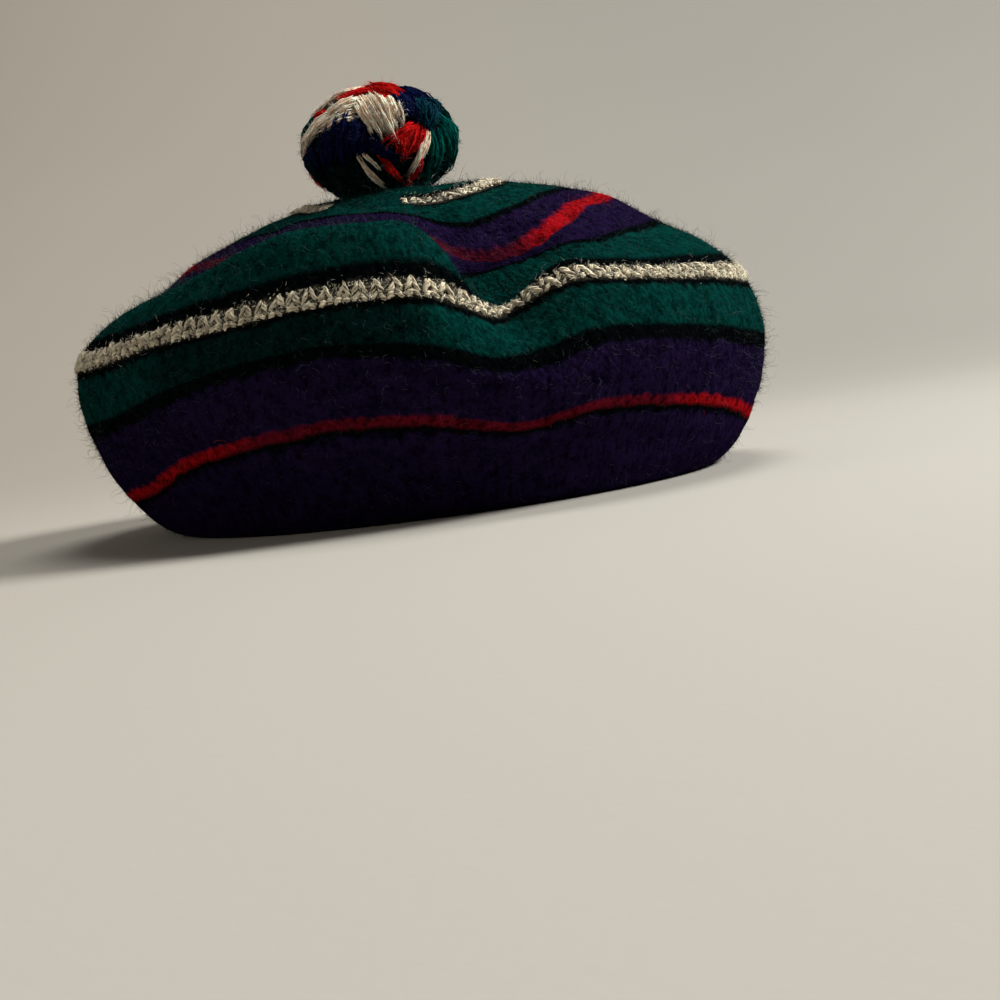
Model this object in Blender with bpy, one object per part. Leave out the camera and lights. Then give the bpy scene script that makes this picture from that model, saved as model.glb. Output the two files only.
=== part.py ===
# Tam o' shanter: a puffed, knitted and fulled wool crown whose rim turns up inside as a
# band, and a yarn pompom that a tie holds through the eyelet at the crown's centre.
# Metres, +Z up. The hat rests on Z = 0 and its front, with the deep dent, faces -Y.
# An azimuth is in degrees round +Z: 0 at the front, 90 at +X, -90 at -X.

import math

import bmesh
import bpy
import numpy as np

# Driving dimensions
CROWN_RADIUS = 0.1230  # half the width across the puffed edge
CROWN_HEIGHT = 0.1120  # from the surface that it rests on to its highest ring
WALL = 0.0032  # thickness of the fulled knit
RIM_RADIUS = 0.0845  # head opening, halfway between its long and short half widths
RIM_OVAL = 0.0030  # what the long half width has more, and the short one less
RIM_LONG_AXIS = 26.0  # azimuth of the wearer's brow, in degrees
BAND_HEIGHT = 0.0150  # turned-up band inside the opening
BEND_RADIUS = 0.0050  # outside of the fold between the underside and the band
EYELET_RADIUS = 0.0018  # where the last round of stitches is drawn together
EYELET_LEAN = -0.0050  # how far the crown's centre has slipped towards -X
POMPOM_WIDTH = 0.0570
POMPOM_HEIGHT = 0.0440
POMPOM_SINK = 0.0035  # how far the tie draws the pompom down into the crown
LOCK_LIFT = 0.0022  # how far a lock of yarn stands above the pompom's body
SOCKET_DEPTH = 0.0160  # how far the tie reaches into the pompom
KNOT_RADIUS = 0.0055  # tie's knot under the crown
KNOT_HEIGHT = 0.0042
CLEARANCE = 0.0003  # between pieces that touch

# Crown sections, from the centre outwards and down. Heights are shares of CROWN_HEIGHT,
# radii are shares of CROWN_RADIUS.
CENTRE_SHARE = 0.980
CREST_RING, CREST_SHARE = 0.14, 0.995
NECK_RING, DOME_RING, SLOPE_RING, SHOULDER_RING = 0.30, 0.60, 0.76, 0.88
SECTION_COLUMNS = (
    "azimuth", "neck", "dome", "slope", "shoulder",
    "edge_out", "edge", "belly_out", "belly", "heel_out", "heel", "foot_out",
)
SECTIONS = (
    (-180, 0.975, 0.865, 0.765, 0.685, 0.955, 0.565, 0.995, 0.385, 0.935, 0.135, 0.790),
    (-135, 0.970, 0.855, 0.750, 0.685, 0.965, 0.565, 0.995, 0.405, 0.920, 0.135, 0.770),
    (-90, 0.965, 0.848, 0.740, 0.695, 0.990, 0.580, 0.995, 0.385, 0.900, 0.125, 0.745),
    (-45, 0.940, 0.815, 0.755, 0.710, 0.980, 0.580, 0.980, 0.385, 0.860, 0.135, 0.755),
    (0, 0.940, 0.805, 0.755, 0.700, 0.965, 0.580, 0.970, 0.385, 0.850, 0.145, 0.760),
    (45, 0.965, 0.835, 0.715, 0.645, 0.960, 0.550, 0.985, 0.375, 0.890, 0.145, 0.775),
    (90, 0.992, 0.905, 0.785, 0.690, 0.960, 0.580, 1.000, 0.385, 0.935, 0.140, 0.790),
    (135, 0.988, 0.895, 0.780, 0.680, 0.950, 0.565, 1.000, 0.385, 0.945, 0.140, 0.795),
)

# Folds and dents. A knot counts along the section: 2 neck, 3 dome, 4 slope, 5 shoulder,
# 6 edge, 7 belly, 8 heel. Spread is in degrees and reach in knots, both to one standard
# deviation. Out is a share of CROWN_RADIUS and up one of CROWN_HEIGHT.
FOLD_COLUMNS = ("azimuth", "knot", "spread", "reach", "out", "up")
FOLDS = (
    (-16, 4.5, 17.5, 0.70, 0.000, 0.112),  # the roll along the front, left of the dent
    (-16, 3.2, 20.0, 0.45, 0.000, -0.030),  # the valley behind that roll
    (3, 4.6, 6.0, 0.65, 0.010, 0.040),  # its end, which overhangs the dent
    (24, 3.5, 9.0, 0.55, 0.000, -0.115),  # the hollow from the dent up to the right
    (15, 4.3, 6.0, 0.85, -0.030, -0.160),  # the deep dent, above the edge
    (14, 5.7, 6.5, 0.65, -0.050, -0.080),  # its mouth, where the edge dips
    (17, 7.0, 9.0, 0.60, 0.030, -0.040),  # the lump pushed out below it
    (36, 6.2, 8.0, 0.60, 0.012, 0.010),  # the edge swelling again to the right
    (-80, 4.4, 10.0, 0.60, 0.000, -0.015),  # a soft step in the left shoulder
    (-52, 7.2, 9.0, 0.70, -0.018, 0.000),  # slack hollows round the wall
    (118, 6.6, 9.0, 0.80, -0.020, -0.015),
    (158, 5.0, 10.0, 0.80, -0.012, -0.030),
    (-150, 5.6, 9.0, 0.90, -0.020, -0.025),
    (-118, 7.0, 8.0, 0.70, 0.015, -0.010),
)

# Locks of the pompom that are placed by hand, on the side towards -Y. Azimuth and
# elevation give the middle of a lock, turn is the direction of its tip clockwise from
# straight up, and length and width are half sizes, all in degrees.
LOCK_COLUMNS = ("azimuth", "elevation", "turn", "length", "width")
LOCKS = (
    (-12, 58, 245, 34, 15),
    (-40, 36, 225, 34, 13),
    (-62, 14, 205, 30, 13),
    (0, 26, 172, 34, 12),
    (-48, -8, 12, 34, 13),
    (-22, -4, 352, 34, 13),
    (28, 46, 155, 32, 12),
    (46, 34, 170, 30, 11),
    (18, 2, 198, 32, 11),
    (34, -6, 208, 26, 8),
    (56, 0, 182, 40, 13),
    (-2, -28, 128, 26, 7),
    (-34, -38, 300, 36, 15),
    (36, -38, 220, 36, 15),
)
FURTHER_LOCKS = 26  # the same all over the rest, spaced by the golden angle
FURTHER_LENGTH, FURTHER_WIDTH = 34.0, 14.0
GOLDEN_ANGLE = 180.0 * (3.0 - math.sqrt(5.0))

# Mesh fineness
CROWN_SIDES = 72
SEGMENT_STEPS = (1, 2, 3, 2, 2, 3, 3, 3, 3)  # from knot to knot, centre to foot
BEND_STEPS = 3
POMPOM_SIDES, POMPOM_ROWS = 48, 22
TIE_SIDES = 16

KNIT_GREEN = (0.010, 0.075, 0.060)
POMPOM_NAVY = (0.012, 0.018, 0.060)
TIE_GREEN = (0.008, 0.045, 0.038)


def hermite(start, end, leave, arrive, t):
    """The cubic from start to end with these tangents, at shares t of the way."""
    return (
        (2 * t**3 - 3 * t**2 + 1) * start
        + (t**3 - 2 * t**2 + t) * leave
        + (3 * t**2 - 2 * t**3) * end
        + (t**3 - t**2) * arrive
    )


def smooth_step(low, high, value):
    t = np.clip((value - low) / (high - low), 0.0, 1.0)
    return t * t * (3 - 2 * t)


def section_values(azimuths):
    """Each column of SECTIONS at these azimuths, by a closed curve through its rows."""
    rows = np.array(SECTIONS)
    place = (azimuths - rows[0, 0]) / (360.0 / len(rows))
    row = np.floor(place).astype(int)
    before, start, end, after = (rows[(row + k) % len(rows)] for k in (-1, 0, 1, 2))
    t = (place - row)[:, None]
    values = hermite(start, end, (end - before) / 2, (after - start) / 2, t)
    return dict(zip(SECTION_COLUMNS, values.T))


def rim_radius(azimuths):
    """Half width of the oval head opening."""
    return RIM_RADIUS + RIM_OVAL * np.cos(2 * np.radians(azimuths - RIM_LONG_AXIS))


def section_knots(azimuths):
    """Radius and height of each knot of the section, centre to foot, for each azimuth."""
    share = section_values(azimuths)
    one = np.ones(len(azimuths))
    rings = (
        (EYELET_RADIUS / CROWN_RADIUS * one, CENTRE_SHARE * one),
        (CREST_RING * one, CREST_SHARE * one),
        (NECK_RING * one, share["neck"]),
        (DOME_RING * one, share["dome"]),
        (SLOPE_RING * one, share["slope"]),
        (SHOULDER_RING * one, share["shoulder"]),
        (share["edge_out"], share["edge"]),
        (share["belly_out"], share["belly"]),
        (share["heel_out"], share["heel"]),
        (share["foot_out"], 0 * one),
    )
    size = np.array([CROWN_RADIUS, CROWN_HEIGHT])
    return np.array(rings).transpose(0, 2, 1) * size


def knot_tangents(knots):
    """Unit-speed tangents at the knots: level at both ends, chordal in between."""
    chords = np.linalg.norm(np.diff(knots, axis=0), axis=2)[:, :, None]
    inner = (knots[2:] - knots[:-2]) / (chords[1:] + chords[:-1])
    level = np.zeros_like(knots[:1])
    level[:, :, 0] = 1.0
    return np.concatenate([level, inner, -level]), chords


def fold_shift(azimuths, place):
    """How far all folds move the section at this knot count, as (radius, height)."""
    shift = np.zeros((len(azimuths), 2))
    foot_fade = smooth_step(len(SEGMENT_STEPS), len(SEGMENT_STEPS) - 1, place)
    for fold in FOLDS:
        row = dict(zip(FOLD_COLUMNS, fold))
        turn = (azimuths - row["azimuth"] + 180.0) % 360.0 - 180.0
        weight = np.exp(
            -0.5 * (turn / row["spread"]) ** 2
            - 0.5 * ((place - row["knot"]) / row["reach"]) ** 2
        )
        move = np.array([row["out"] * CROWN_RADIUS, row["up"] * CROWN_HEIGHT])
        shift += foot_fade * weight[:, None] * move
    return shift


def section_at(azimuths, place):
    """Radius and height of the outer skin at a knot count, such as 4.5, centre to foot."""
    knots = section_knots(azimuths)
    tangents, chords = knot_tangents(knots)
    first = min(int(place), len(knots) - 2)
    leave = tangents[first] * chords[first]
    arrive = tangents[first + 1] * chords[first]
    curve = hermite(knots[first], knots[first + 1], leave, arrive, place - first)
    return curve + fold_shift(azimuths, place)


def band_sections(azimuths):
    """The flat foot's inner edge, the bend and the turned-up band, as (radius, height)."""
    rim = rim_radius(azimuths)
    sections = []
    for step in range(BEND_STEPS + 1):
        angle = math.pi / 2 * step / BEND_STEPS
        radius = rim + BEND_RADIUS * (1 - math.sin(angle))
        height = BEND_RADIUS * (1 - math.cos(angle))
        sections.append(np.stack([radius, np.full_like(rim, height)], axis=1))
    sections.append(np.stack([rim, np.full_like(rim, BAND_HEIGHT)], axis=1))
    return sections


def placed(azimuths, section):
    """Points of a section ring: its radius and height turned to each azimuth, with the
    crown's middle slipped sideways by EYELET_LEAN."""
    turn = np.radians(azimuths)
    radius, height = section.T
    slip = 1 - smooth_step(NECK_RING * CROWN_RADIUS, CROWN_RADIUS, radius)
    lean = EYELET_LEAN * slip * (height > BAND_HEIGHT)
    x = radius * np.sin(turn) + lean
    return np.stack([x, -radius * np.cos(turn), height], axis=1)


def crown_rings():
    """Rings of the crown's outer skin, from the eyelet to the top of the band."""
    azimuths = np.arange(CROWN_SIDES) * 360.0 / CROWN_SIDES - 180.0
    places = [0.0]
    for knot, steps in enumerate(SEGMENT_STEPS):
        places += [knot + (step + 1) / steps for step in range(steps)]
    sections = [section_at(azimuths, place) for place in places]
    sections += band_sections(azimuths)
    return [placed(azimuths, section) for section in sections]


def level_middle(rings):
    """Middle of the rings' outline, seen from above."""
    points = np.concatenate(rings)
    return (points.min(axis=0) + points.max(axis=0)) / 2 * np.array([1, 1, 0])


def seat_height(x, y):
    """Height of the crown's outer skin under a point near its centre, measured from the
    eyelet's axis."""
    azimuth = np.array([math.degrees(math.atan2(x, -y))])
    places = np.linspace(0, 3, 25)
    curve = np.array([section_at(azimuth, place)[0] for place in places])
    return float(np.interp(math.hypot(x, y), curve[:, 0], curve[:, 1]))


def new_object(name, bm, colour, roughness):
    """An object of this mesh, with faces outwards, smooth shading and its material."""
    bmesh.ops.recalc_face_normals(bm, faces=bm.faces)
    mesh = bpy.data.meshes.new(name)
    bm.to_mesh(mesh)
    bm.free()
    mesh.shade_smooth()
    material = bpy.data.materials.new(name + "_wool")
    material.use_nodes = True
    shader = material.node_tree.nodes["Principled BSDF"]
    shader.inputs["Base Color"].default_value = (*colour, 1.0)
    shader.inputs["Roughness"].default_value = roughness
    shader.inputs["Metallic"].default_value = 0.0
    mesh.materials.append(material)
    obj = bpy.data.objects.new(name, mesh)
    bpy.context.scene.collection.objects.link(obj)
    return obj


def bridge_rings(bm, rings):
    """Quads between each two neighbouring rings. Returns the rings' vertices."""
    loops = [[bm.verts.new(point) for point in ring] for ring in rings]
    for upper, lower in zip(loops, loops[1:]):
        for i in range(len(upper)):
            j = (i + 1) % len(upper)
            bm.faces.new((upper[i], upper[j], lower[j], lower[i]))
    return loops


def close_ring(bm, loop, point):
    """A fan of triangles from the ring to one point."""
    tip = bm.verts.new(point)
    for i in range(len(loop)):
        bm.faces.new((loop[i], loop[(i + 1) % len(loop)], tip))


def build_crown(rings):
    """The fulled shell: its outer skin, thickened inwards by WALL."""
    bm = bmesh.new()
    bridge_rings(bm, rings)
    crown = new_object("crown", bm, KNIT_GREEN, 0.9)
    solidify = crown.modifiers.new("wall", "SOLIDIFY")
    solidify.thickness = WALL
    solidify.offset = -1.0
    solidify.use_even_offset = True
    return crown


def unit_direction(azimuth, elevation):
    a, e = math.radians(azimuth), math.radians(elevation)
    return np.array([math.sin(a) * math.cos(e), -math.cos(a) * math.cos(e), math.sin(e)])


def all_locks():
    """The locks placed by hand, and the further ones where none of those is near."""
    locks = [dict(zip(LOCK_COLUMNS, row)) for row in LOCKS]
    by_hand = [unit_direction(lock["azimuth"], lock["elevation"]) for lock in locks]
    for i in range(FURTHER_LOCKS):
        elevation = math.degrees(math.asin(0.9 - 1.6 * (i + 0.5) / FURTHER_LOCKS))
        azimuth = i * GOLDEN_ANGLE
        middle = unit_direction(azimuth, elevation)
        nearest = max(float(middle @ other) for other in by_hand)
        if nearest > math.cos(math.radians(FURTHER_LENGTH / 2)):
            continue
        turn = 180.0 + 35.0 * math.sin(3.0 * i)
        row = (azimuth, elevation, turn, FURTHER_LENGTH, FURTHER_WIDTH)
        locks.append(dict(zip(LOCK_COLUMNS, row)))
    return locks


def lock_relief(direction, locks):
    """Height of the highest lock over the pompom's body here, as a share of LOCK_LIFT.
    A lock is a long lens that narrows towards its tip."""
    relief = 0.0
    for lock in locks:
        middle = unit_direction(lock["azimuth"], lock["elevation"])
        up = unit_direction(lock["azimuth"], lock["elevation"] + 90.0)
        side = np.cross(up, middle)
        turn = math.radians(lock["turn"])
        tip = math.cos(turn) * up + math.sin(turn) * side
        if direction @ middle <= 0:
            continue
        along = math.degrees(math.asin(direction @ tip)) / lock["length"]
        across = math.degrees(math.asin(direction @ np.cross(tip, middle))) / lock["width"]
        taper = max(1.0 - 0.45 * (along + 1.0) / 2.0, 0.1)
        height = 1.0 - along**2 - (across / taper) ** 2
        relief = max(relief, math.sqrt(max(height, 0.0)))
    return relief


def build_pompom():
    """A squat ball of locks, seated on the crown and hollowed below for the tie."""
    locks = all_locks()
    half = np.array([POMPOM_WIDTH, POMPOM_WIDTH, POMPOM_HEIGHT]) / 2
    base = CENTRE_SHARE * CROWN_HEIGHT + CLEARANCE
    crest = CREST_SHARE * CROWN_HEIGHT
    middle = crest - POMPOM_SINK + half[2]
    rings = []
    for row in range(1, POMPOM_ROWS):
        elevation = 90.0 - 180.0 * row / POMPOM_ROWS
        ring = []
        for side in range(POMPOM_SIDES):
            direction = unit_direction(side * 360.0 / POMPOM_SIDES, elevation)
            body = half - LOCK_LIFT * (1.0 - lock_relief(direction, locks))
            x, y, z = direction * body
            ring.append((x, y, max(z + middle, seat_height(x, y) + CLEARANCE)))
        rings.append(ring)
    bore = EYELET_RADIUS
    for height in (base, base + SOCKET_DEPTH + CLEARANCE):
        turns = [2 * math.pi * side / POMPOM_SIDES for side in range(POMPOM_SIDES)]
        rings.append([(bore * math.sin(t), -bore * math.cos(t), height) for t in turns])
    bm = bmesh.new()
    loops = bridge_rings(bm, rings)
    top = lock_relief(np.array([0.0, 0.0, 1.0]), locks)
    close_ring(bm, loops[0], (0, 0, middle + half[2] - LOCK_LIFT * (1.0 - top)))
    close_ring(bm, loops[-1], (0, 0, base + SOCKET_DEPTH + CLEARANCE))
    return new_object("pompom", bm, POMPOM_NAVY, 0.95)


def build_tie():
    """The yarn that binds the pompom: a stem through the eyelet, knotted underneath."""
    stem = EYELET_RADIUS - CLEARANCE
    centre = CENTRE_SHARE * CROWN_HEIGHT
    under = centre - WALL - CLEARANCE
    top = centre + CLEARANCE + SOCKET_DEPTH
    profile = (
        (0.55 * KNOT_RADIUS, under - KNOT_HEIGHT),
        (0.90 * KNOT_RADIUS, under - 0.75 * KNOT_HEIGHT),
        (KNOT_RADIUS, under - 0.45 * KNOT_HEIGHT),
        (0.80 * KNOT_RADIUS, under),
        (stem, under),
        (stem, top - stem),
        (0.6 * stem, top),
    )
    turns = [2 * math.pi * side / TIE_SIDES for side in range(TIE_SIDES)]
    rings = [[(r * math.sin(t), -r * math.cos(t), z) for t in turns] for r, z in profile]
    bm = bmesh.new()
    loops = bridge_rings(bm, rings)
    close_ring(bm, loops[0], (0, 0, profile[0][1]))
    close_ring(bm, loops[-1], (0, 0, top))
    return new_object("pompom_tie", bm, TIE_GREEN, 0.9)


def main():
    for obj in list(bpy.data.objects):
        bpy.data.objects.remove(obj)
    rings = crown_rings()
    middle = level_middle(rings)
    build_crown([ring - middle for ring in rings])
    eyelet = (EYELET_LEAN - middle[0], -middle[1], 0.0)
    for piece in (build_pompom(), build_tie()):
        piece.location = eyelet


main()
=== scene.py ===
import math

import bpy
import numpy as np
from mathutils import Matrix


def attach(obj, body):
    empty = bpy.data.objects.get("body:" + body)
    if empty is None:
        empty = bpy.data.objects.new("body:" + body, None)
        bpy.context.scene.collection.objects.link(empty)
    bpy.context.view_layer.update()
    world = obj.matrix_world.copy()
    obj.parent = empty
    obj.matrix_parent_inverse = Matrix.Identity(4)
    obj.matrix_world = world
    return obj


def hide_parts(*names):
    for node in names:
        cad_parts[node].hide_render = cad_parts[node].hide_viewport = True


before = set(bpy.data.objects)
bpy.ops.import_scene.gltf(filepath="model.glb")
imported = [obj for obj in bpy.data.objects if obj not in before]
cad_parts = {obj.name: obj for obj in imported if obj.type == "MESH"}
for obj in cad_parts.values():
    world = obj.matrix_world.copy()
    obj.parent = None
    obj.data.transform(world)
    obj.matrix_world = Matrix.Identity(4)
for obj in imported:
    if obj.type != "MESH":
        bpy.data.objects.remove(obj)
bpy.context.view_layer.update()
print("frame loaded:", sorted(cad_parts))

# A tam o' shanter at rest: a knitted, fulled crown in striped rings, a yarn pompom and its tie.
# Metres, +Z up, the front with the deep dent towards -Y. Azimuths are degrees from the front
# round +Z, so +X is at 90. A knitted surface is read by (turn, reach): turn is the azimuth as a
# share of a full round, reach is how far the knitting has gone from the crown's centre.

rng = np.random.default_rng(20)
tau = 2 * math.pi
mm = 0.001

# Wool colours, linear RGB
wool = {
    "green": (0.0008, 0.0200, 0.0172),
    "black": (0.0010, 0.0017, 0.0020),
    "purple": (0.0062, 0.0035, 0.0172),
    "red": (0.1750, 0.0030, 0.0050),
    "cream": (0.780, 0.680, 0.510),
    # cream wool darkened with painted shade: the ground between the open stitches of the cream rounds
    "creamGroundInShade": (0.034, 0.031, 0.024),
    # red wool darkened with painted shade, laid over the red rounds where they lie in shade
    "maroon": (0.0240, 0.0030, 0.0085),
    "white": (0.950, 0.690, 0.490),
    "scarlet": (0.430, 0.008, 0.008),
    "navy": (0.0034, 0.0056, 0.0330),
    "teal": (0.0030, 0.0330, 0.0540),
    "emerald": (0.0010, 0.0680, 0.0580),
    "pine": (0.0009, 0.0120, 0.0110),
}


# Mesh making

def makeMesh(name, points, quads=(), triangles=(), uvs=None):
    # One mesh from whole arrays: points (n, 3), quads (m, 4), triangles (k, 3), and a UV pair for
    # each corner in the same order.
    quads = np.asarray(quads, dtype=np.int32).reshape(-1, 4)
    triangles = np.asarray(triangles, dtype=np.int32).reshape(-1, 3)
    corners = np.concatenate([quads.ravel(), triangles.ravel()])
    sizes = np.concatenate([np.full(len(quads), 4), np.full(len(triangles), 3)])
    mesh = bpy.data.meshes.new(name)
    mesh.vertices.add(len(points))
    mesh.vertices.foreach_set("co", np.asarray(points, dtype=np.float32).ravel())
    mesh.loops.add(len(corners))
    mesh.loops.foreach_set("vertex_index", corners)
    mesh.polygons.add(len(sizes))
    starts = np.concatenate([[0], np.cumsum(sizes)[:-1]])
    mesh.polygons.foreach_set("loop_start", starts.astype(np.int32))
    mesh.polygons.foreach_set("loop_total", sizes.astype(np.int32))
    mesh.update(calc_edges=True)
    if uvs is not None:
        layer = mesh.uv_layers.new(name="UVMap")
        layer.data.foreach_set("uv", np.asarray(uvs, dtype=np.float32).ravel())
    mesh.shade_smooth()
    mesh.validate()
    piece = bpy.data.objects.new(name, mesh)
    bpy.context.scene.collection.objects.link(piece)
    return piece


def gridQuads(rows, columns, wrapRows=False, wrapColumns=False):
    # Quads of a rows x columns grid of points, optionally closed round either way.
    r = np.arange(rows if wrapRows else rows - 1)
    c = np.arange(columns if wrapColumns else columns - 1)
    r, c = np.meshgrid(r, c, indexing="ij")
    nextR, nextC = (r + 1) % rows, (c + 1) % columns
    here, below = r * columns, nextR * columns
    quads = np.stack([here + c, here + nextC, below + nextC, below + c], -1)
    return quads.reshape(-1, 4)


def unit(vectors):
    # The same directions at length 1
    return vectors / np.maximum(np.linalg.norm(vectors, axis=-1, keepdims=True), 1e-12)


def tubes(paths, radii, sides):
    # Closed tubes along many paths at once: paths (n, k, 3) and radii (n, k). Each has a ring of
    # points at every path point but the last, which is its tip, and a fan behind its first ring.
    n, k = radii.shape
    along = unit(np.gradient(paths, axis=1))
    span = unit(paths[:, -1] - paths[:, 0])
    pick = np.where(np.abs(span[:, 2:]) < 0.8, [[0.0, 0.0, 1.0]], [[1.0, 0.0, 0.0]])
    across = unit(np.cross(along, pick[:, None]))
    above = np.cross(across, along)
    angle = tau * np.arange(sides) / sides
    wheel = (
        np.cos(angle)[None, None, :, None] * across[:, :-1, None]
        + np.sin(angle)[None, None, :, None] * above[:, :-1, None]
    )
    rings = paths[:, :-1, None] + radii[:, :-1, None, None] * wheel
    perTube = (k - 1) * sides + 2
    points = np.concatenate([rings.reshape(n, -1, 3), paths[:, :1], paths[:, -1:]], axis=1)
    first = (perTube * np.arange(n))[:, None, None]
    quads = gridQuads(k - 1, sides, wrapColumns=True)[None] + first
    i = np.arange(sides)
    j = (i + 1) % sides
    last = (k - 2) * sides
    back = np.full(sides, perTube - 2)
    tip = np.full(sides, perTube - 1)
    fans = np.concatenate([np.stack([j, i, back], -1), np.stack([last + i, last + j, tip], -1)])
    triangles = fans[None] + first
    return points.reshape(-1, 3), quads.reshape(-1, 4), triangles.reshape(-1, 3)


def addTubes(pieceName, paths, radii, material, node=None):
    # Three-sided tubes as one piece on the root, which stands for a node where one is named
    piece = makeMesh(pieceName, *tubes(paths, radii, 3))
    piece.data.materials.append(material)
    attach(piece, "root")
    if node:
        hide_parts(node)


# Shader making

class Socket:
    # Wraps a node's output socket, so that shader maths reads as plain expressions.
    def __init__(self, maker, output):
        self.maker = maker
        self.output = output

    def maths(self, operation, *values):
        return self.maker.node("ShaderNodeMath", {"operation": operation}, dict(enumerate(values)))

    def __add__(self, other):
        return self.maths("ADD", self, other)

    def __radd__(self, other):
        return self.maths("ADD", other, self)

    def __sub__(self, other):
        return self.maths("SUBTRACT", self, other)

    def __rsub__(self, other):
        return self.maths("SUBTRACT", other, self)

    def __mul__(self, other):
        return self.maths("MULTIPLY", self, other)

    def __rmul__(self, other):
        return self.maths("MULTIPLY", other, self)

    def __truediv__(self, other):
        return self.maths("DIVIDE", self, other)

    def __gt__(self, other):
        return self.maths("GREATER_THAN", self, other)

    def frac(self):
        return self.maths("FRACT", self)

    def size(self):
        return self.maths("ABSOLUTE", self)

    def ramp(self, low, high):
        # 0 below low, 1 above high, smooth between
        settings = {"interpolation_type": "SMOOTHSTEP"}
        sockets = {"Value": self, "From Min": low, "From Max": high}
        return self.maker.node("ShaderNodeMapRange", settings, sockets)


class Maker:
    # Adds nodes to one material.
    def __init__(self, name):
        self.material = bpy.data.materials.new(name)
        self.material.use_nodes = True
        self.tree = self.material.node_tree
        self.shader = self.tree.nodes["Principled BSDF"]

    def node(self, kind, settings=None, sockets=None, output=0):
        made = self.tree.nodes.new(kind)
        for key, value in (settings or {}).items():
            setattr(made, key, value)
        for key, value in (sockets or {}).items():
            self.feed(made.inputs[key], value)
        return Socket(self, made.outputs[output])

    def feed(self, socket, value):
        if isinstance(value, Socket):
            self.tree.links.new(value.output, socket)
        else:
            socket.default_value = value

    def mix(self, share, first, second, blend="MIX"):
        # Colours only: share 0 gives first, 1 gives second
        made = self.tree.nodes.new("ShaderNodeMix")
        made.data_type = "RGBA"
        made.blend_type = blend
        for key, value in ((0, share), (6, first), (7, second)):
            self.feed(made.inputs[key], (*value, 1.0) if isinstance(value, tuple) else value)
        return Socket(self, made.outputs[2])

    def noise(self, vector, scale, detail=2.0, roughness=0.5):
        sockets = {"Vector": vector, "Scale": scale, "Detail": detail, "Roughness": roughness}
        return self.node("ShaderNodeTexNoise", {}, sockets)

    def objectPlace(self):
        return self.node("ShaderNodeTexCoord", {}, {}, output="Object")

    def uvPlace(self):
        return self.node("ShaderNodeTexCoord", {}, {}, output="UV")

    def parts(self, vector):
        made = self.tree.nodes.new("ShaderNodeSeparateXYZ")
        self.feed(made.inputs[0], vector)
        return [Socket(self, made.outputs[k]) for k in range(3)]

    def bump(self, height, distance, strength=1.0, normal=None):
        sockets = {"Height": height, "Distance": distance, "Strength": strength}
        if normal is not None:
            sockets["Normal"] = normal
        return self.node("ShaderNodeBump", {}, sockets)

    def finish(self, colour, roughness, normal=None, **fixed):
        # Feeds the shader. Fixed values go straight onto its own sockets.
        self.feed(self.shader.inputs["Base Color"], (*colour, 1.0) if isinstance(colour, tuple) else colour)
        self.feed(self.shader.inputs["Roughness"], roughness)
        if normal is not None:
            self.feed(self.shader.inputs["Normal"], normal)
        for key, value in fixed.items():
            self.shader.inputs[key.replace("_", " ")].default_value = value
        return self.material


# Camera and light first, so that the framing is settled

view = {
    "distance": 0.680,
    "eyeHeight": 0.050,  # above the floor
    "fieldOfView": 30.0,
    "roll": 7.8,  # the hat is rolled this much to its left in the picture
    "hatPixel": (412.0, 291.0),  # where the middle of the hat's height is in the 1000-pixel frame
    "hatMiddle": 0.0752,
    "pictureWidth": 1000.0,
}


def makeCamera():
    # The camera looks level along +Y. Its shift puts the hat's middle at hatPixel: the picture's
    # principal point is that pixel moved along the rolled up-vector by the hat's height above
    # the eye.
    width = view["pictureWidth"]
    focalPixels = width / 2 / math.tan(math.radians(view["fieldOfView"] / 2))
    roll = math.radians(view["roll"])
    lift = focalPixels * (view["hatMiddle"] - view["eyeHeight"]) / view["distance"]
    principalX = view["hatPixel"][0] + math.sin(roll) * lift
    principalY = view["hatPixel"][1] + math.cos(roll) * lift
    camera = bpy.data.cameras.new("camera")
    camera.lens_unit = "FOV"
    camera.angle = math.radians(view["fieldOfView"])
    camera.shift_x = (width / 2 - principalX) / width
    camera.shift_y = (principalY - width / 2) / width
    camera.clip_start = 0.01
    camera.clip_end = 30.0
    holder = bpy.data.objects.new("camera", camera)
    holder.location = (0.0, -view["distance"], view["eyeHeight"])
    holder.rotation_euler = (math.pi / 2, roll, 0.0)
    bpy.context.scene.collection.objects.link(holder)
    bpy.context.scene.camera = holder


light = {
    # name: (place, size in metres, watts, colour)
    "window": ((1.85, -0.15, 1.55), 0.90, 70.0, (1.0, 0.985, 0.955)),
    "ceiling": ((0.35, 0.60, 2.20), 1.10, 26.0, (1.0, 0.98, 0.95)),
    "room": ((-2.00, -0.60, 0.80), 1.40, 8.0, (1.0, 0.92, 0.84)),
}
lampAim = (0.0, 0.0, 0.06)
roomLight = {"Color": (1.0, 0.95, 0.88, 1.0), "Strength": 0.060}


def makeLights():
    # Round lamps turned to the hat, and a weak even light from all round
    for name, (place, size, watts, colour) in light.items():
        lamp = bpy.data.lights.new(name, "AREA")
        lamp.shape = "DISK"
        lamp.size = size
        lamp.energy = watts
        lamp.color = colour
        holder = bpy.data.objects.new(name, lamp)
        holder.location = place
        aim = np.array(lampAim) - np.array(place)
        flat = math.hypot(aim[0], aim[1])
        holder.rotation_euler = (math.atan2(flat, -aim[2]), 0.0, math.atan2(aim[1], aim[0]) - math.pi / 2)
        bpy.context.scene.collection.objects.link(holder)
    world = bpy.data.worlds.new("room")
    world.use_nodes = True
    backdrop = world.node_tree.nodes["Background"]
    for socket, value in roomLight.items():
        backdrop.inputs[socket].default_value = value
    bpy.context.scene.world = world
    bpy.context.scene.view_settings.view_transform = "Standard"
    bpy.context.scene.view_settings.look = "None"


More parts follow.
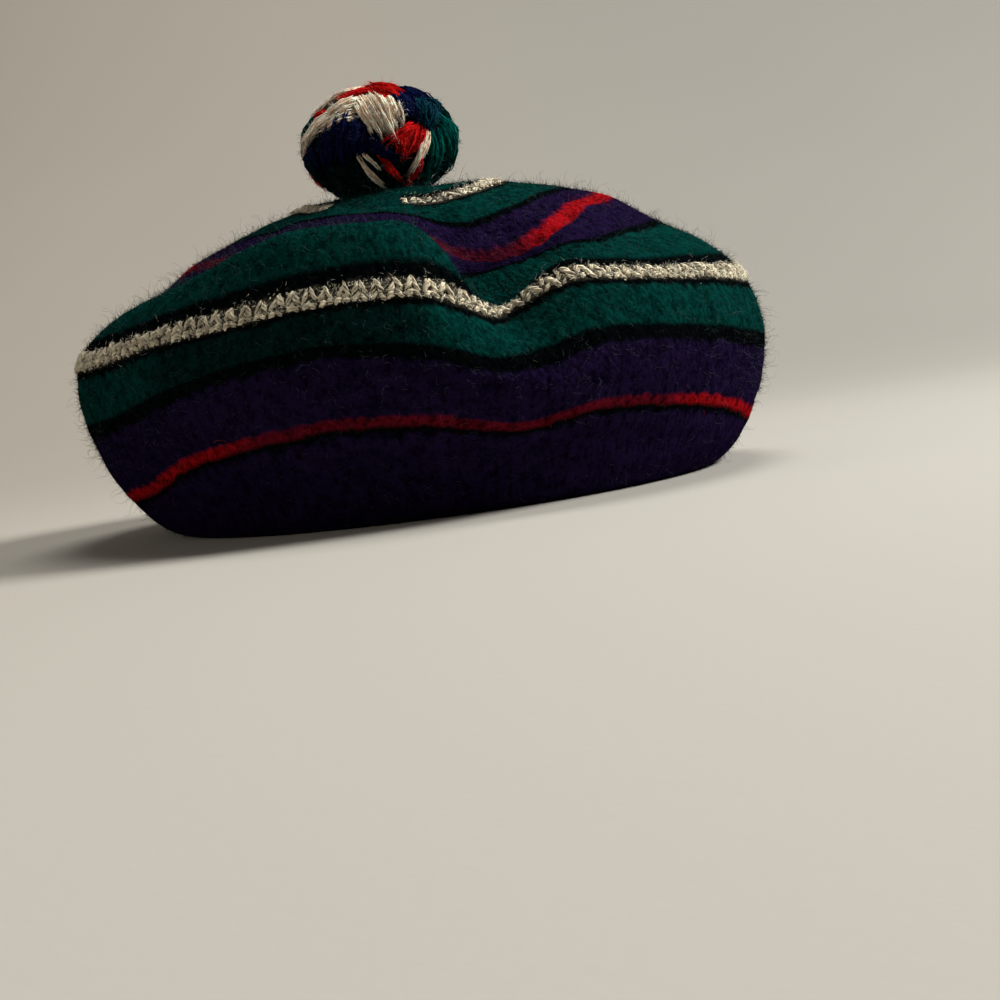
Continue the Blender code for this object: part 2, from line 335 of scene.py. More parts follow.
sweep = {
    "halfWidth": 4.0,
    "front": -4.0,
    "wallAt": 0.45,  # where the floor turns up
    "bendRadius": 1.6,
    "wallHeight": 4.0,
    # colours of the paper in front and behind, each towards -X and then towards +X; the grading between them
    # is painted light and shade
    "near": ((0.455, 0.425, 0.370), (0.545, 0.532, 0.485)),
    "far": ((0.400, 0.368, 0.312), (0.312, 0.300, 0.268)),
    "blendAcross": (-0.45, 0.45),  # the x over which they blend
    "blendBack": (-0.35, 0.75),  # and the y
}


def makeSweep():
    # Floor and wall in one sheet: level, then a quarter round, then straight up.
    turn = np.linspace(0, math.pi / 2, 25)
    y = np.concatenate([[sweep["front"]], sweep["wallAt"] + sweep["bendRadius"] * np.sin(turn), [0.0]])
    z = np.concatenate([[0.0], sweep["bendRadius"] * (1 - np.cos(turn)), [sweep["wallHeight"]]])
    y[-1] = y[-2]
    x = np.array([-sweep["halfWidth"], sweep["halfWidth"]])
    points = np.stack([np.tile(x, len(y)), np.repeat(y, 2), np.repeat(z, 2)], -1)
    piece = makeMesh("sweep", points, gridQuads(len(y), 2))
    maker = Maker("paperSweep")
    place = maker.objectPlace()
    cloud = maker.noise(place, 1.6, 2.0)
    x, y, _ = maker.parts(place)
    across = x.ramp(*sweep["blendAcross"])
    near, far = (maker.mix(across, *sweep[key]) for key in ("near", "far"))
    colour = maker.mix(y.ramp(*sweep["blendBack"]), near, far)
    clouded = maker.mix(1.0, colour, (0.93, 0.93, 0.93), "MULTIPLY")
    colour = maker.mix(cloud.ramp(0.3, 0.7) * 0.5, colour, clouded)
    grain = maker.bump(maker.noise(place, 320.0, 3.0), 0.0002, 0.25)
    piece.data.materials.append(maker.finish(colour, 0.92, grain))


makeCamera()
makeLights()
makeSweep()
print("camera, lights and sweep made")


# Crown

crown = {
    "radius": 0.1230,
    "height": 0.1120,
    "wall": 0.0032,
    "rimRadius": 0.0845,
    "rimOval": 0.0030,
    "rimLongAxis": 26.0,
    "bandHeight": 0.0150,
    "bendRadius": 0.0050,
    "eyelet": 0.0018,
    "eyeletLean": -0.0050,
    "centreHeight": 0.980,  # heights are shares of height, rings are shares of radius
    "crest": (0.14, 0.995),
    "rings": {"neck": 0.30, "dome": 0.60, "slope": 0.76, "shoulder": 0.88},
    "reachToFoot": 0.205,  # the knitting from centre to foot, the same on every section
    "columns": 360,
    "reachStep": 0.0018,
    "innerEvery": 2,  # the inner skin has one row for each two of the outer
    "unevenness": 0.00045,
    "mapLength": 0.25,  # reach for 1 on the UV map
}

# The crown's sections, from the centre outwards and down, by azimuth
sectionColumns = (
    "azimuth", "neck", "dome", "slope", "shoulder",
    "edgeOut", "edge", "bellyOut", "belly", "heelOut", "heel", "footOut",
)
sections = (
    (-180, 0.975, 0.865, 0.765, 0.685, 0.955, 0.565, 0.995, 0.385, 0.935, 0.135, 0.790),
    (-135, 0.970, 0.855, 0.750, 0.685, 0.965, 0.565, 0.995, 0.405, 0.920, 0.135, 0.770),
    (-90, 0.965, 0.848, 0.740, 0.695, 0.990, 0.580, 0.995, 0.385, 0.900, 0.125, 0.745),
    (-45, 0.940, 0.815, 0.755, 0.710, 0.980, 0.580, 0.980, 0.385, 0.860, 0.135, 0.755),
    (0, 0.940, 0.805, 0.755, 0.700, 0.965, 0.580, 0.970, 0.385, 0.850, 0.145, 0.760),
    (45, 0.965, 0.835, 0.715, 0.645, 0.960, 0.550, 0.985, 0.375, 0.890, 0.145, 0.775),
    (90, 0.992, 0.905, 0.785, 0.690, 0.960, 0.580, 1.000, 0.385, 0.935, 0.140, 0.790),
    (135, 0.988, 0.895, 0.780, 0.680, 0.950, 0.565, 1.000, 0.385, 0.945, 0.140, 0.795),
)

# Folds and dents: azimuth, knot of the section, spread in degrees, reach in knots, and how far
# out and up as shares of radius and height
folds = (
    (-16, 4.5, 17.5, 0.70, 0.000, 0.112),  # the roll along the front, left of the dent
    (-16, 3.2, 20.0, 0.45, 0.000, -0.030),  # the valley behind that roll
    (3, 4.6, 6.0, 0.65, 0.010, 0.040),  # its end, which overhangs the dent
    (24, 3.5, 9.0, 0.55, 0.000, -0.115),  # the hollow that runs up from the dent to the right
    (15, 4.3, 6.0, 0.85, -0.030, -0.160),  # the deep dent, above the edge
    (14, 5.7, 6.5, 0.65, -0.050, -0.080),  # its mouth, where the edge dips
    (17, 7.0, 9.0, 0.60, 0.030, -0.040),  # the lump pushed out below it
    (36, 6.2, 8.0, 0.60, 0.012, 0.010),  # the edge swelling again to the right
    (-80, 4.4, 10.0, 0.60, 0.000, -0.015),  # a soft step in the left shoulder
    (-52, 7.2, 9.0, 0.70, -0.018, 0.000),  # slack hollows round the wall
    (118, 6.6, 9.0, 0.80, -0.020, -0.015),
    (158, 5.0, 10.0, 0.80, -0.012, -0.030),
    (-150, 5.6, 9.0, 0.90, -0.020, -0.025),
    (-118, 7.0, 8.0, 0.70, 0.015, -0.010),
)
footKnot = 9


def hermite(start, end, leave, arrive, t):
    # The cubic from start to end with these tangents, at share t of the way
    return (
        (2 * t**3 - 3 * t**2 + 1) * start
        + (t**3 - 2 * t**2 + t) * leave
        + (3 * t**2 - 2 * t**3) * end
        + (t**3 - t**2) * arrive
    )


def smoothStep(low, high, value):
    # 0 up to low and 1 from high on, smooth between. It falls where high is below low.
    t = np.clip((value - low) / (high - low), 0.0, 1.0)
    return t * t * (3 - 2 * t)


def sectionKnots(azimuths):
    # Radius and height of each knot for each azimuth, by a closed cubic through the table
    rows = np.array(sections)
    place = (azimuths - rows[0, 0]) / (360.0 / len(rows))
    row = np.floor(place).astype(int)
    before, start, end, after = (rows[(row + k) % len(rows)] for k in (-1, 0, 1, 2))
    values = hermite(start, end, (end - before) / 2, (after - start) / 2, (place - row)[:, None])
    share = dict(zip(sectionColumns, values.T))
    one = np.ones(len(azimuths))
    knots = [
        (crown["eyelet"] / crown["radius"] * one, crown["centreHeight"] * one),
        (crown["crest"][0] * one, crown["crest"][1] * one),
    ]
    knots += [(ring * one, share[name]) for name, ring in crown["rings"].items()]
    knots += [(share[name + "Out"], share[name]) for name in ("edge", "belly", "heel")]
    knots.append((share["footOut"], 0 * one))
    return np.array(knots).transpose(0, 2, 1) * np.array([crown["radius"], crown["height"]])


def sectionCurves(azimuths, places):
    # Radius and height at each (place, azimuth): cubics from knot to knot plus all folds, each a
    # bell in azimuth and in knots
    knots = sectionKnots(azimuths)
    chords = np.linalg.norm(np.diff(knots, axis=0), axis=2)[:, :, None]
    inner = (knots[2:] - knots[:-2]) / (chords[1:] + chords[:-1])
    level = np.zeros_like(knots[:1])
    level[:, :, 0] = 1.0
    tangents = np.concatenate([level, inner, -level])
    first = np.minimum(places.astype(int), footKnot - 1)
    t = (places - first)[:, None, None]
    leave, arrive = (tangents[k] * chords[first] for k in (first, first + 1))
    curve = hermite(knots[first], knots[first + 1], leave, arrive, t)
    footFade = smoothStep(footKnot, footKnot - 1, places)[:, None]
    for azimuth, knot, spread, reach, out, up in folds:
        turned = (azimuths - azimuth + 180.0) % 360.0 - 180.0
        bellRound = np.exp(-0.5 * (turned / spread) ** 2)
        bellDown = np.exp(-0.5 * ((places - knot) / reach) ** 2)
        bell = bellRound[None] * bellDown[:, None]
        move = np.array([out * crown["radius"], up * crown["height"]])
        curve = curve + (footFade * bell)[..., None] * move
    return curve


def placed(azimuths, curve):
    # Turns (radius, height) to each azimuth, with the crown's middle slipped towards -X
    turn = np.radians(azimuths)
    radius, height = curve[..., 0], curve[..., 1]
    slip = 1 - smoothStep(crown["rings"]["neck"] * crown["radius"], crown["radius"], radius)
    lean = crown["eyeletLean"] * slip * (height > crown["bandHeight"])
    return np.stack([radius * np.sin(turn) + lean, -radius * np.cos(turn), height], -1)


def outerSkin(azimuths):
    # The outer skin as points (reach, azimuth): each section is read at even steps of its own
    # length, scaled so that every section has the same reach. Then come the flat foot, the bend
    # and the turned-up band. Returns the points and the reach of each row.
    curve = sectionCurves(azimuths, np.linspace(0, footKnot, 541))
    steps = np.linalg.norm(np.diff(curve, axis=0), axis=2)
    run = np.concatenate([np.zeros((1, len(azimuths))), np.cumsum(steps, axis=0)])
    run = run / run[-1]
    rowCount = int(crown["reachToFoot"] / crown["reachStep"]) + 1
    share = np.linspace(0, 1, rowCount)
    even = np.empty((rowCount, len(azimuths), 2))
    for column in range(len(azimuths)):
        even[:, column, 0] = np.interp(share, run[:, column], curve[:, column, 0])
        even[:, column, 1] = np.interp(share, run[:, column], curve[:, column, 1])
    rim = crown["rimRadius"] + crown["rimOval"] * np.cos(2 * np.radians(azimuths - crown["rimLongAxis"]))
    foot = even[-1, :, 0]
    lower = [np.stack([foot + (rim + crown["bendRadius"] - foot) * 0.5, 0 * rim], -1)]
    for angle in np.linspace(0, math.pi / 2, 6):
        radius = rim + crown["bendRadius"] * (1 - math.sin(angle))
        lower.append(np.stack([radius, 0 * rim + crown["bendRadius"] * (1 - math.cos(angle))], -1))
    for height in np.linspace(crown["bendRadius"], crown["bandHeight"], 7)[1:]:
        lower.append(np.stack([rim, 0 * rim + height], -1))
    curve = np.concatenate([even, np.array(lower)])
    extra = np.linalg.norm(np.diff(curve[rowCount - 1:], axis=0), axis=2).mean(axis=1)
    reach = np.concatenate([share * crown["reachToFoot"], crown["reachToFoot"] + np.cumsum(extra)])
    return placed(azimuths, curve), reach


def gridNormals(points):
    # Outward normals of a grid whose rows run down from the centre and whose columns run round
    around = np.roll(points, -1, axis=1) - np.roll(points, 1, axis=1)
    down = np.gradient(points, axis=0)
    return unit(np.cross(down, around))


azimuths = np.arange(crown["columns"]) * 360.0 / crown["columns"] - 180.0
skin, reachOfRow = outerSkin(azimuths)
low, high = skin.reshape(-1, 3).min(axis=0), skin.reshape(-1, 3).max(axis=0)
crownMiddle = (low + high) / 2 * np.array([1, 1, 0])
skin = skin - crownMiddle
skinNormals = gridNormals(skin)
eyeletPlace = np.array([crown["eyeletLean"], 0.0, 0.0]) - crownMiddle
print("crown skin worked out:", skin.shape[0], "rows by", skin.shape[1], "columns")


def readGrid(values, turn, reach):
    # Values of a skin grid at any turn (0 to 1, from azimuth -180) and reach, between four points
    column = (turn % 1.0) * crown["columns"]
    row = np.interp(reach, reachOfRow, np.arange(len(reachOfRow)))
    c = np.floor(column).astype(int)
    r = np.minimum(np.floor(row).astype(int), len(reachOfRow) - 2)
    fc = (column - c)[..., None]
    fr = (row - r)[..., None]
    c0, c1 = c % crown["columns"], (c + 1) % crown["columns"]
    upper = values[r, c0] * (1 - fc) + values[r, c1] * fc
    lower = values[r + 1, c0] * (1 - fc) + values[r + 1, c1] * fc
    return upper * (1 - fr) + lower * fr


# Stripes from the centre to the band, each to the reach where it ends, in metres. Both cream
# stripes are two rounds of open stitches, the others are fulled solid.
stripes = (
    (0.0275, "green"),
    (0.0300, "black"),
    (0.0380, "cream"),
    (0.0405, "black"),
    (0.0595, "green"),
    (0.0640, "black"),
    (0.0725, "purple"),
    (0.0790, "red"),
    (0.0985, "purple"),
    (0.1030, "black"),
    (0.1190, "green"),
    (0.1238, "black"),
    (0.1304, "cream"),
    (0.1338, "black"),
    (0.1520, "green"),
    (0.1590, "black"),
    (0.1820, "purple"),
    (0.1860, "red"),
    (0.1885, "black"),
    (0.2600, "purple"),
)
knit = {
    "rowHeight": 0.0049,
    "softBorder": 0.0012,  # half the width of the blend between two stripes
    "borderWobble": 0.0042,
    "coverFade": 0.015,  # turns over which each felted stretch and each stretch of painted shade begins and ends, to each side
    # how many wales, or columns of stitches, go round from each reach outwards
    "wales": ((0.0, 18), (0.016, 36), (0.034, 54), (0.056, 92), (0.088, 146)),
    # scale, detail and roughness of the felt's noises
    "nap": (900.0, 3.0, 0.65),
    "tuft": (260.0, 3.0, 0.6),
    "patch": (38.0, 3.0, 0.6),
    "relief": {"fulledKnit": 0.22, "purlSide": 0.8},  # how strongly the stitches show
    "bumpHeight": 0.0016,
    # what the wool's colour is multiplied by: painted shade in the stitches' hollows, painted highlight on
    # their tips, and duller worn patches
    "hollowShade": (0.26, 0.26, 0.28),
    "tipHighlight": (2.2, 2.05, 2.0),
    "paintedLightAndWear": (0.70, 0.72, 0.75),
}

# Where seven rounds of the knitting lie on the skin, in mm of reach, by azimuth: the middle of
# the top cream round, the inner border of the upper purple, the middle of its red round, the
# border where green begins below it, the middle of the edge's cream round, the lower purple's
# upper border and the middle of the lower red round. The valley behind the roll swallows some of
# the knitting, the dent takes up more, and the front wall is drawn up. evenRounds are the same
# rounds' places in the knitting itself, and then the purple's below the lower red.
roundColumns = ("azimuth", "top", "upperPurple", "upperRed", "green", "edge", "purple", "red")
evenRounds = (34.0, 64.0, 76.0, 103.0, 127.0, 158.0, 184.0, 188.5)
redToPurple = 4.2  # from the red round's middle to the purple below it, in mm on the skin
rounds = (
    (-180, 34.0, 64.0, 76.0, 103.0, 127.0, 158.0, 184.0),
    (-120, 32.0, 63.0, 77.0, 103.0, 127.5, 158.0, 184.0),
    (-90, 30.0, 62.0, 79.0, 103.5, 129.0, 157.5, 182.5),
    (-75, 29.5, 59.0, 79.0, 103.5, 130.2, 156.5, 180.0),
    (-60, 29.5, 51.0, 75.0, 103.5, 130.2, 154.5, 177.5),
    (-45, 31.0, 43.5, 70.0, 102.0, 129.2, 150.5, 171.0),
    (-30, 32.0, 41.0, 66.0, 98.0, 129.8, 146.0, 167.5),
    (-15, 33.5, 42.0, 64.0, 96.5, 128.8, 145.0, 166.0),
    (0, 36.0, 45.0, 60.0, 96.0, 127.6, 147.5, 167.0),
    (10, 39.0, 53.0, 72.0, 92.0, 123.5, 148.5, 168.0),
    (17, 40.5, 60.0, 79.5, 87.5, 118.8, 148.5, 168.0),
    (25, 42.0, 65.0, 84.0, 85.8, 122.0, 148.0, 167.5),
    (35, 43.5, 67.0, 87.0, 91.0, 125.5, 148.0, 168.5),
    (45, 42.5, 67.0, 83.6, 99.0, 126.8, 150.0, 170.5),
    (60, 40.5, 64.5, 76.5, 98.5, 129.0, 154.2, 175.0),
    (75, 38.5, 63.5, 75.5, 97.5, 129.5, 156.0, 179.0),
    (90, 36.0, 63.0, 75.5, 99.0, 129.0, 157.0, 182.0),
    (120, 34.5, 64.0, 76.0, 102.0, 127.5, 158.0, 184.0),
    (180, 34.0, 64.0, 76.0, 103.0, 127.0, 158.0, 184.0),
)


def roundPlaces(turn):
    # Rows of reach in metres: the centre, the seven rounds, the purple below the last of them, the
    # foot and a place beyond the band. Each round wanders a little by two waves in azimuth.
    azimuth = (turn % 1.0) * 360.0 - 180.0
    table = np.array(rounds, dtype=float)
    wander = 0.5 * np.sin(np.radians(azimuth * 5 + 40)) + 0.35 * np.sin(np.radians(azimuth * 11))
    places = [0 * azimuth]
    places += [np.interp(azimuth, table[:, 0], table[:, k]) + wander for k in range(1, len(roundColumns))]
    places += [places[-1] + redToPurple, 205.0 + 0 * azimuth, 300.0 + 0 * azimuth]
    return np.array(places) * mm


def stretched(value, old, new):
    # Moves a reach by straight steps, so that each place in old comes to its place in new
    moved = new[0] + 0 * value
    for start, end, newStart, newEnd in zip(old, old[1:], new, new[1:]):
        moved = moved + np.clip((value - start) / (end - start), 0, 1) * (newEnd - newStart)
    return moved


def evenPlaces(places):
    # The rows of roundPlaces in the knitting itself, one value for each of theirs
    even = np.array([0.0, *evenRounds, 205.0, 300.0]) * mm
    return even.reshape((-1,) + (1,) * (places.ndim - 1)) + 0 * places


def knitReach(turn, reach):
    # Where in the knitting a place on the skin lies
    places = roundPlaces(turn)
    return stretched(reach, places, evenPlaces(places))


def skinReach(turn, knitPlace):
    # Where on the skin a place in the knitting lies
    places = roundPlaces(turn)
    return stretched(knitPlace, evenPlaces(places), places)


# Where a round is felted over by its neighbours, and where it is darkened by painted shade: the stripe
# by its place in the list, the azimuths between which it is covered, how fully, and the colour that shows
# there
overFeltedAndShaded = (
    (1, (-37.0, 8.0), 1.00, "green"),
    (2, (-40.0, 11.0), 1.00, "green"),
    (3, (-37.0, 8.0), 1.00, "green"),
    # painted shade: the upper red darkened where it lies in the valley behind the roll
    (7, (-76.0, 33.0), 0.95, "maroon"),
    # painted shade: black mixed into the green of the front wall, where it lies in shade under the roll
    (14, (-46.0, 0.0), 0.55, "black"),
    # painted shade: the lower red darkened at the front, where the wall turns in under the belly
    (17, (-32.0, 44.0), 0.75, "maroon"),
)


def stripeNames(turn, knitPlace):
    # The colour of the wool at each place, with the felted-over stretches and the painted shade laid over it
    ends = np.array([end for end, _ in stripes])
    index = np.minimum(np.searchsorted(ends, knitPlace), len(stripes) - 1)
    names = np.array([name for _, name in stripes], dtype="<U8")[index]
    azimuth = turn * 360.0 - 180.0
    for covered, (first, last), share, over in overFeltedAndShaded:
        within = (index == covered) & (azimuth > first) & (azimuth < last)
        names[within & (rng.random(len(turn)) < share)] = over
    return names


def stripeColour(maker, turn, reach, wobble, creamGround):
    # The stripes as a chain of colour mixes, each border a soft step whose place wobbles a little
    colour = None
    before = 0.0
    for k, (end, name) in enumerate(stripes):
        shade = wool[creamGround] if name == "cream" else wool[name]
        # felted-over stretches, and stretches darkened with painted shade, mixed in by azimuth
        for covered, between, share, over in overFeltedAndShaded:
            if covered == k:
                first, last = ((azimuth + 180.0) / 360.0 for azimuth in between)
                fade = knit["coverFade"]
                begun = turn.ramp(first - fade, first + fade)
                overlaid = begun * (1.0 - turn.ramp(last - fade, last + fade))
                shade = maker.mix(overlaid * share, shade, wool[over])
        if colour is None:
            colour = shade
        else:
            step = (reach + wobble).ramp(before - knit["softBorder"], before + knit["softBorder"])
            colour = maker.mix(step, colour, shade)
        before = end
    return colour


def knitMaterial(name, purl):
    # Fulled knit: stripes by reach along the UV map's second value, stitches by its first, felted
    # nap over both. The purl side has its bumps in rows instead of columns of V stitches.
    maker = Maker(name)
    place = maker.objectPlace()
    turn, reachUv, _ = maker.parts(maker.uvPlace())
    reach = reachUv * crown["mapLength"]
    nap, tuft, patch = (maker.noise(place, *knit[key]) for key in ("nap", "tuft", "patch"))
    wobble = (tuft - 0.5) * knit["borderWobble"]
    # outside, the cream stripes' ground between the open stitches is cream darkened with painted shade
    colour = stripeColour(maker, turn, reach, wobble, "cream" if purl else "creamGroundInShade")
    count = float(knit["wales"][0][1])
    for (_, fewer), (start, many) in zip(knit["wales"], knit["wales"][1:]):
        count = count + (reach > start) * float(many - fewer)
    across = (turn * count).frac() - 0.5
    row = reach / knit["rowHeight"]
    if purl:
        rows = (row.frac() - 0.5).size() * 2.0
        bead = ((turn * count + (row - row.frac()) * 0.5).frac() - 0.5).size() * 2.0
        height = (1.0 - rows) * (0.55 + bead * 0.45)
    else:
        legs = ((row - across.size() * 1.5).frac() - 0.5).size() * 2.0
        wale = (0.5 - across.size()).ramp(0.0, 0.22)
        height = (1.0 - legs) * 0.7 + wale * 0.55
    amount = knit["relief"][name]
    depth = height * amount + tuft * 0.75 + nap * 0.45
    shade = height * amount * 0.5 + tuft * 0.85 + nap * 0.65
    # painted shade in the hollows and painted highlight on the tips, by the stitches' height and the random
    # relief of nap and tufts; then random duller worn patches
    dark, bright = (maker.mix(1.0, colour, knit[key], "MULTIPLY") for key in ("hollowShade", "tipHighlight"))
    paintedLightAndWear = maker.mix(shade.ramp(0.50, 1.05), dark, bright)
    duller = maker.mix(1.0, paintedLightAndWear, knit["paintedLightAndWear"], "MULTIPLY")
    paintedLightAndWear = maker.mix(patch.ramp(0.35, 0.75) * 0.35, paintedLightAndWear, duller)
    normal = maker.bump(depth, knit["bumpHeight"], 0.9)
    return maker.finish(paintedLightAndWear, 0.95, normal, Specular_IOR_Level=0.0)


def unevenness(points):
    # Gentle lumps of the felted cloth, a sum of a few waves in space
    x, y, z = points[..., 0] / mm, points[..., 1] / mm, points[..., 2] / mm
    lumps = (
        np.sin(x / 6.1 + 1.3 * np.sin(y / 9.0)) * np.sin(y / 5.3 + 0.7)
        + 0.8 * np.sin((x + z) / 3.7 + 2.1) * np.sin((y - z) / 4.3)
        + 0.6 * np.sin(z / 2.9 + x / 7.0) * np.sin((x - y) / 6.6)
    )
    return crown["unevenness"] * lumps / 1.6


def makeCrown():
    # One closed shell: the outer skin, over the band's top edge, and back along the inner skin to
    # the eyelet. The inner skin is the outer one moved inwards by the wall.
    settled = smoothStep(crown["reachToFoot"], 0.9 * crown["reachToFoot"], reachOfRow)
    lift = unevenness(skin) * settled[:, None]
    outer = skin + skinNormals * lift[..., None]
    keep = np.arange(len(reachOfRow) - 1, -1, -crown["innerEvery"])
    inner = (skin - skinNormals * crown["wall"])[keep]
    edge = (outer[-1] + inner[0]) / 2 + np.array([0, 0, crown["wall"] / 3])
    points = np.concatenate([outer, edge[None], inner])
    rows, columns = points.shape[:2]
    quads = gridQuads(rows, columns, wrapRows=True, wrapColumns=True)
    reach = np.concatenate([reachOfRow, [reachOfRow[-1] + 0.002], reachOfRow[keep]])
    r, c = np.meshgrid(np.arange(rows), np.arange(columns), indexing="ij")
    u = np.stack([c, c + 1, c + 1, c], -1) / columns
    nextR = (r + 1) % rows
    v = np.stack([reach[r], reach[r], reach[nextR], reach[nextR]], -1)
    v = knitReach(u, v)
    uvs = np.stack([u, v / crown["mapLength"]], -1).reshape(-1, 4, 2)
    piece = makeMesh("crown_knit", points.reshape(-1, 3), quads[:, ::-1], uvs=uvs[:, ::-1])
    piece.data.materials.append(knitMaterial("fulledKnit", False))
    piece.data.materials.append(knitMaterial("purlSide", True))
    side = np.zeros((rows, columns), dtype=np.int32)
    side[len(reachOfRow):] = 1
    piece.data.polygons.foreach_set("material_index", side.ravel())
    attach(piece, "root")
    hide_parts("crown")


makeCrown()
print("crown shell made")


def woolMaterial(name, colour, bright=1.5, dark=0.55):
    # Plain wool for hairs, stitches and strands, in flecks of a darker and a brighter shade
    maker = Maker(name)
    place = maker.objectPlace()
    fleck = maker.noise(place, 420.0, 3.0, 0.6)
    darker = tuple(dark * c for c in colour)
    brighter = tuple(min(bright * c, 0.95) for c in colour)
    shade = maker.mix(fleck.ramp(0.35, 0.68), darker, brighter)
    return maker.finish(shade, 0.95, Specular_IOR_Level=0.0)


def paler(colour):
    # The shade of the finest fibres, which catch the light
    return tuple(min(2.0 * c + 0.045 * tint, 0.9) for c, tint in zip(colour, (0.80, 1.0, 0.95)))


woolMaterials = {name: woolMaterial(name + "Hair", colour) for name, colour in wool.items()}
paleWool = {name: woolMaterial(name + "PaleHair", paler(colour)) for name, colour in wool.items()}


# Cream rounds of open stitches

stitches = {
    # name: reach of the first round's middle in the knitting, stitches in a round
    "rounds": {"edge": (0.1253, 138), "top": (0.0323, 46)},
    "rowGap": 0.0030,
    "legHalfLength": 0.0019,
    # across, in stitches: a leg's middle from its stitch's, how much nearer it ends, its bow
    "legOffset": 0.25,
    "legLean": 0.20,
    "legBow": 0.06,
    "arch": 0.0006,
    "bedded": 0.0003,
    "plyTwist": 2.4,  # radians from a leg's middle to its end
    "plyShift": 0.3,
    "plyRoughness": 0.0001,
    # how much stitches differ: across in stitches, reach in metres, the others as shares
    "uneven": {"across": 0.035, "reach": 0.0004, "arch": 0.3, "plump": 0.14, "length": 0.12},
    "legRadius": 0.00052,  # of the circle on which a leg's three plies lie
    "thickness": 0.00046,
    # where the felted ground has closed over the top round: azimuth, spread, depth
    "sunk": {"edge": (0, 1, 0.0), "top": (26, 14, 0.0007)},
    "covered": {"edge": (0.0, 0.0), "top": (-40.0, 11.0)},  # no stitches between these
}


def makeStitches(ring):
    # Each stitch is a V of two plump yarn legs of three plies, tapered to both ends, laid on the
    # skin by its turn and reach.
    start, count = stitches["rounds"][ring]
    k = 7
    t = np.linspace(-1, 1, k)
    index = np.arange(count * 2 * 2)
    azimuth = (index % count + 0.5) / count * 360.0 - 180.0
    first, last = stitches["covered"][ring]
    index = index[(azimuth <= first) | (azimuth >= last)]
    stitch, leg, row = index % count, (index // count) % 2, index // (2 * count)
    side = np.where(leg == 0, -1.0, 1.0)
    jitter = rng.normal(0, 1, (len(stitches["uneven"]), len(index)))[..., None]
    uneven = {name: share * row for (name, share), row in zip(stitches["uneven"].items(), jitter)}
    fromMiddle = stitches["legOffset"] - stitches["legLean"] * t[None]
    across = side[:, None] * fromMiddle + uneven["across"]
    across = across + side[:, None] * stitches["legBow"] * (1 - t[None] ** 2)
    turn = (stitch[:, None] + 0.5 + across) / count
    half = stitches["legHalfLength"] * (1 + uneven["length"])
    reach = start + row[:, None] * stitches["rowGap"] + t[None] * half + uneven["reach"]
    reach = skinReach(turn, reach)
    arch = (1 - t**2)[None] * stitches["arch"] * (1 + uneven["arch"])
    plump = (1 + uneven["plump"]) * (0.25 + 0.75 * np.sqrt(1 - (0.98 * t[None]) ** 2))
    azimuth, spread, depth = stitches["sunk"][ring]
    turned = (turn * 360.0 - 180.0 - azimuth + 180.0) % 360.0 - 180.0
    sunk = depth * np.exp(-0.5 * (turned / spread) ** 2)
    base = readGrid(skin, turn, reach)
    out = unit(readGrid(skinNormals, turn, reach))
    middle = base + out * (arch - stitches["bedded"] + unevenness(base) - sunk)[..., None]
    beside = unit(np.cross(out, np.gradient(middle, axis=1)))
    paths = []
    for ply in range(3):
        twist = stitches["plyTwist"] * t[None] * side[:, None]
        angle = tau * ply / 3 + twist + stitches["plyShift"] * jitter[3]
        away = np.cos(angle)[..., None] * beside + np.sin(angle)[..., None] * out
        paths.append(middle + away * (stitches["legRadius"] * plump)[..., None])
    paths = np.concatenate(paths)
    paths = paths + rng.normal(0, stitches["plyRoughness"], paths.shape)
    radii = stitches["thickness"] * np.tile(plump, (3, 1))
    yarn = woolMaterial("creamYarn" + ring.capitalize(), wool["cream"], bright=1.25, dark=0.65)
    addTubes("stitches_" + ring, paths, radii, yarn)


for ring in stitches["rounds"]:
    makeStitches(ring)
print("cream stitches made")


# Fuzz

# Hairs by kind: how many, bends, shortest and longest, how far they curl and how steeply they
# rise as shares of their length, thickness, and whether they are the paler kind
hairColumns = ("hairs", "bends", "length", "curl", "rise", "thickness", "pale")
hairKinds = {
    "nap": (31500, 1, (0.0010, 0.0032), 0.0, (0.15, 0.85), 0.000110, False),
    "curl": (6500, 4, (0.0025, 0.0075), 1.2, (0.00, 0.45), 0.000072, True),
    "halo": (4200, 4, (0.0030, 0.0085), 1.2, (0.30, 1.00), 0.000055, True),
}
fuzz = {
    "undersideShare": 0.25,  # of the hairs elsewhere
    "stray": 0.0014,  # how far hairs stray over the border of their stripe
    "rootDepth": 0.0003,
    "stoutness": (0.6, 1.3),
    # on the cream rounds: how high the roots lie, and how long and thick hairs are for others
    "creamRoot": 0.0006,
    "creamLength": 0.65,
    "creamThickness": 0.6,
}


def sampleSkin(count):
    # Random (turn, reach) on the outer skin, even by area but thinner on the underside
    rowsKept = reachOfRow < crown["reachToFoot"] + 0.004
    area = np.linalg.norm(
        np.cross(np.gradient(skin, axis=0), np.roll(skin, -1, axis=1) - skin), axis=2
    ) * rowsKept[:, None]
    area = area * np.where(skinNormals[..., 2] < -0.4, fuzz["undersideShare"], 1.0)
    chance = area.ravel() / area.sum()
    cell = rng.choice(chance.size, count, p=chance)
    row, column = np.divmod(cell, crown["columns"])
    turn = (column + rng.random(count)) / crown["columns"]
    reach = np.interp(row + rng.random(count) - 0.5, np.arange(len(reachOfRow)), reachOfRow)
    return turn, np.clip(reach, 0.004, reachOfRow[-1])


